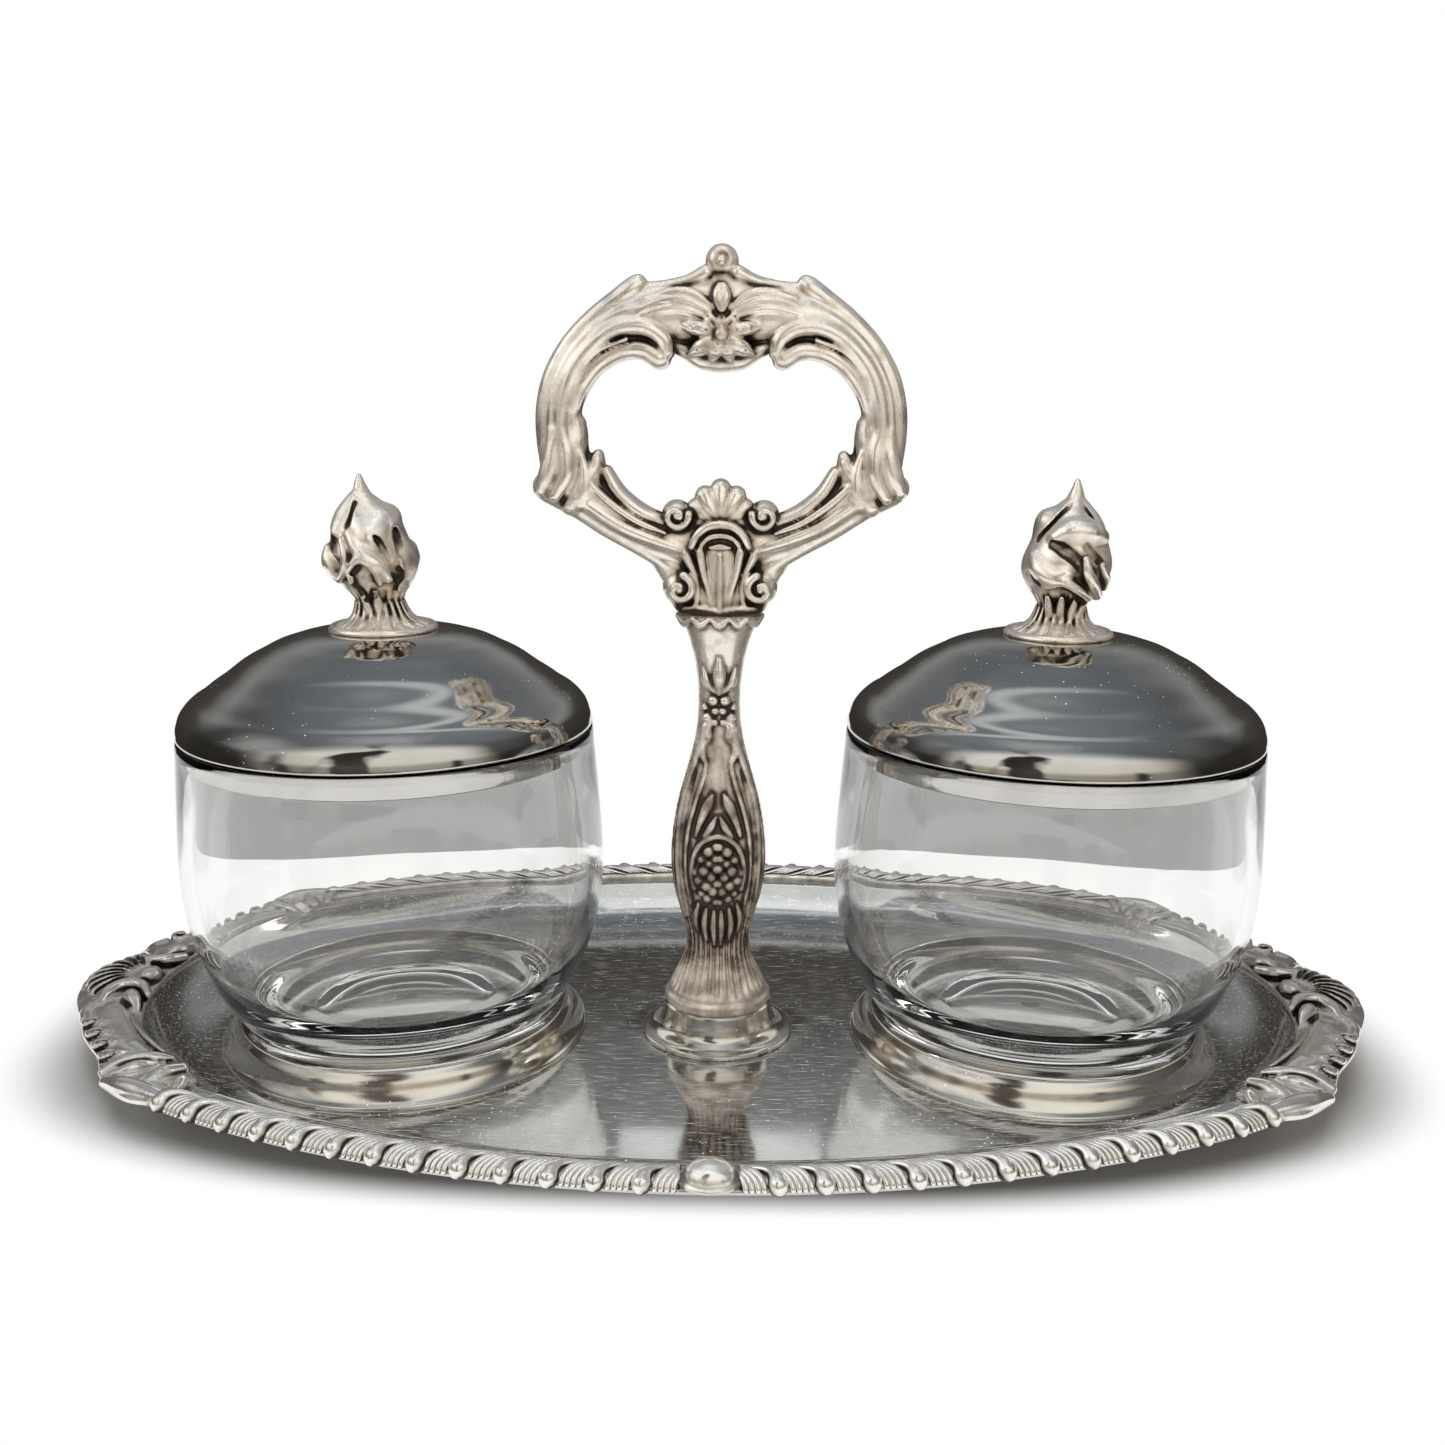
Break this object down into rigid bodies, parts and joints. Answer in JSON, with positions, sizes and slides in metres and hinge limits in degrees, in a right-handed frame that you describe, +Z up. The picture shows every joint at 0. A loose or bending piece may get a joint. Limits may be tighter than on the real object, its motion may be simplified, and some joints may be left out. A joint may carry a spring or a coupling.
{
  "type": "condiment server",
  "caption": "Oval silver-plated tray with a cast border and a tall scrolled centre handle, holding lidded glass condiment jars in raised rings.",
  "frame": {"origin": "centre of the tray's flat underside, on the table", "axes": "+X along the tray's length, -Y the front, +Z up along the handle"},
  "size_m": [0.31, 0.179, 0.1814],
  "materials": {
    "silver_plate": "polished silver plate with fine use scratches",
    "cast_silver": "cast, plated, dark tarnish left in the recesses",
    "hardware": "bright turned brass",
    "clear_glass": "clear pressed glass, fire polished"
  },
  "bodies": {
    "tray": {"tray_pan": "silver_plate", "left_jar_ring": "silver_plate", "right_jar_ring": "silver_plate", "handle_socket": "silver_plate", "gadroon_front_left": "cast_silver", "gadroon_front_right": "cast_silver", "gadroon_back_left": "cast_silver", "gadroon_back_right": "cast_silver", "front_boss": "cast_silver", "back_boss": "cast_silver", "left_shell_mount": "cast_silver", "right_shell_mount": "cast_silver", "handle_stem": "cast_silver", "handle_loop": "cast_silver", "handle_tie_rod": "hardware", "tie_rod_washer": "hardware", "tie_rod_nut": "hardware"},
    "left_jar": {"left_glass_jar": "clear_glass"},
    "right_jar": {"right_glass_jar": "clear_glass"},
    "left_lid": {"left_lid": "silver_plate", "left_lid_band": "silver_plate", "left_finial": "cast_silver", "left_finial_washer": "hardware", "left_finial_nut": "hardware"},
    "right_lid": {"right_lid": "silver_plate", "right_lid_band": "silver_plate", "right_finial": "cast_silver", "right_finial_washer": "hardware", "right_finial_nut": "hardware"}
  },
  "joints": [
    {"name": "left_jar_lift", "type": "slide", "parent": "tray", "child": "left_jar", "axis": [0, 0, 1], "range_m": [0, 0.015]},
    {"name": "right_jar_lift", "type": "slide", "parent": "tray", "child": "right_jar", "axis": [0, 0, 1], "range_m": [0, 0.015]},
    {"name": "left_lid_lift", "type": "slide", "parent": "left_jar", "child": "left_lid", "axis": [0, 0, 1], "range_m": [0, 0.02]},
    {"name": "right_lid_lift", "type": "slide", "parent": "right_jar", "child": "right_lid", "axis": [0, 0, 1], "range_m": [0, 0.02]}
  ]
}
